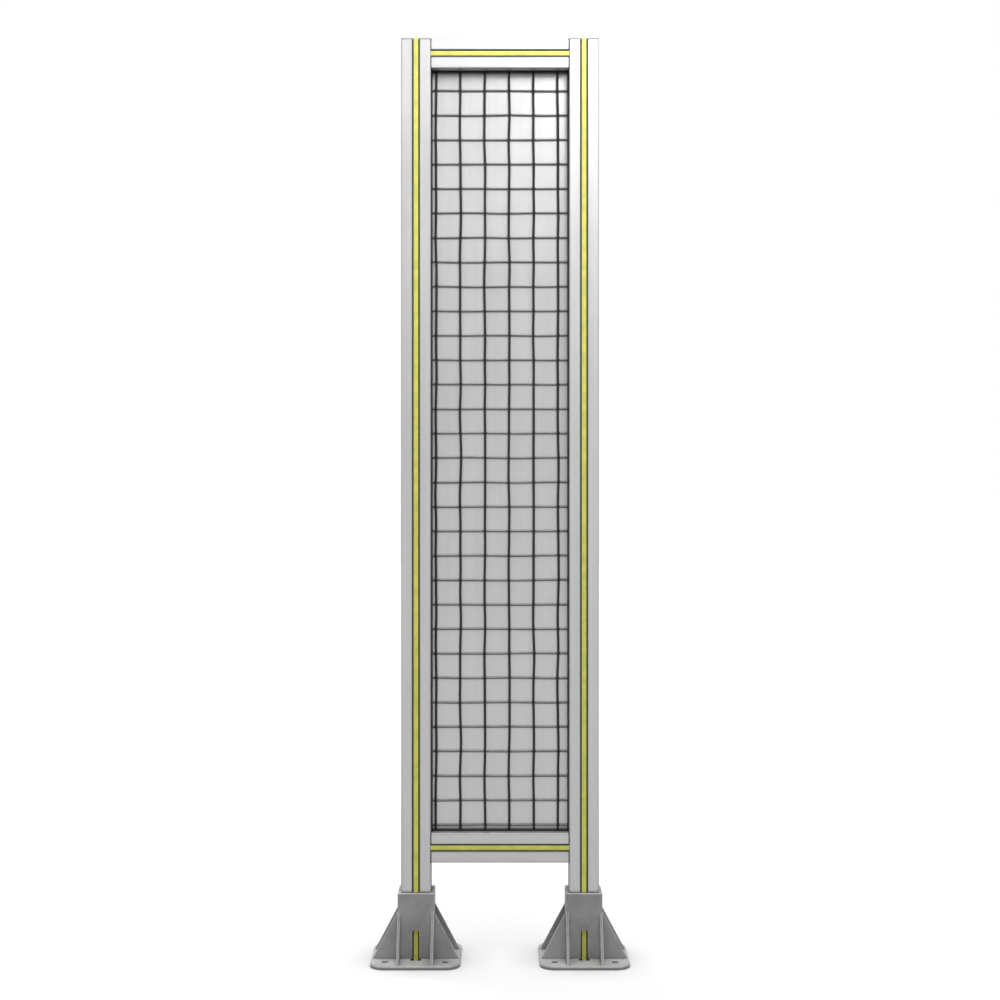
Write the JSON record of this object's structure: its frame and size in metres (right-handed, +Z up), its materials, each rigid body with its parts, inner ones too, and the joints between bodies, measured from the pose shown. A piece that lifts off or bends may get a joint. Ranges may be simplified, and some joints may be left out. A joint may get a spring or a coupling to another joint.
{
  "type": "machine guard fence panel",
  "caption": "Narrow guard fence panel: slotted aluminium frame with pale yellow cover strips, welded wire mesh before a thin sheet, and ribbed cast feet for bolting to the floor.",
  "frame": {"origin": "on the floor, midway between the two posts and between front and back", "axes": "+X along the fence, -Y towards the front, +Z up"},
  "size_m": [0.39, 0.135, 1.4],
  "materials": {
    "profile": "satin anodised",
    "strip": "pale yellow, satin",
    "gasket": "black, matt",
    "mesh": "dark grey coated wire",
    "sheet": "light, satin rolled",
    "foot": "grey coated casting",
    "fastener": "zinc plated"
  },
  "bodies": {
    "root": {"post_left": "profile", "post_right": "profile", "rail_top": "profile", "rail_bottom": "profile", "strip_post_left_front": "strip", "strip_post_left_back": "strip", "strip_post_left_outer": "strip", "strip_post_left_inner": "strip", "strip_post_right_front": "strip", "strip_post_right_back": "strip", "strip_post_right_outer": "strip", "strip_post_right_inner": "strip", "strip_rail_top_front": "strip", "strip_rail_top_back": "strip", "strip_rail_top_upper": "strip", "strip_rail_bottom_front": "strip", "strip_rail_bottom_back": "strip", "strip_rail_bottom_under": "strip", "gasket_left": "gasket", "gasket_right": "gasket", "gasket_top": "gasket", "gasket_bottom": "gasket", "mesh_infill": "mesh", "backing_sheet": "sheet", "foot_left": "foot", "foot_right": "foot", "screws_left": "fastener", "screws_right": "fastener", "washers_left": "fastener", "washers_right": "fastener", "slot_nuts_left": "fastener", "slot_nuts_right": "fastener"}
  },
  "joints": []
}
